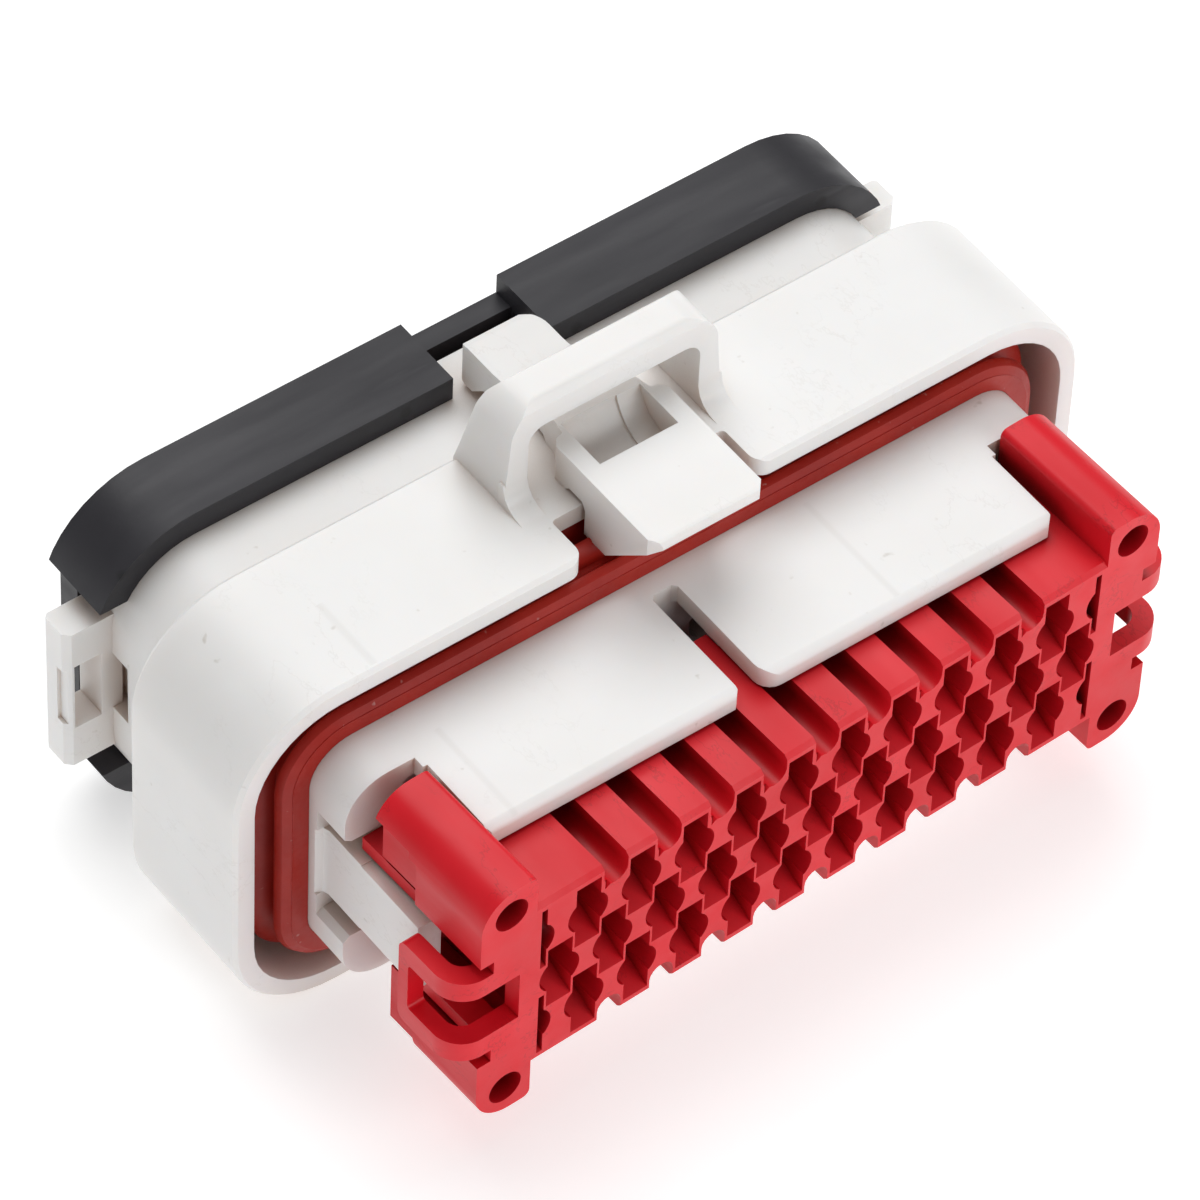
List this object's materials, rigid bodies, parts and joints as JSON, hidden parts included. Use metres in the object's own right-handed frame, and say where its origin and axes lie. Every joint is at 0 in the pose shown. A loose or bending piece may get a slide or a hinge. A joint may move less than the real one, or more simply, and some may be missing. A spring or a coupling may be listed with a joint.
{
  "type": "sealed cable connector plug",
  "caption": "Rectangular sealed cable plug with a rounded white shroud, red wedge lock, ribbed silicone seal, guarded latch and black rear cap.",
  "frame": {"origin": "middle of the floor of the bounding box", "axes": "+X along the rows of contacts, -Y out of the mating face, +Y along the leaving wires, +Z towards the latch"},
  "size_m": [0.0632, 0.0384, 0.0345],
  "materials": {
    "housing_plastic": "satin moulded, natural white",
    "wedge_plastic": "satin moulded red",
    "seal_silicone": "oiled silicone, brick red",
    "mat_silicone": "silicone, orange red",
    "cap_plastic": "satin moulded black"
  },
  "bodies": {
    "plug": {"plug_housing": "housing_plastic", "interface_seal": "seal_silicone", "wire_seal": "mat_silicone", "rear_cap": "cap_plastic"},
    "wedge": {"wedge_lock": "wedge_plastic"}
  },
  "joints": [
    {"name": "wedge_slide", "type": "slide", "parent": "plug", "child": "wedge", "axis": [0, -1, 0], "range_m": [0, 0.003]}
  ]
}
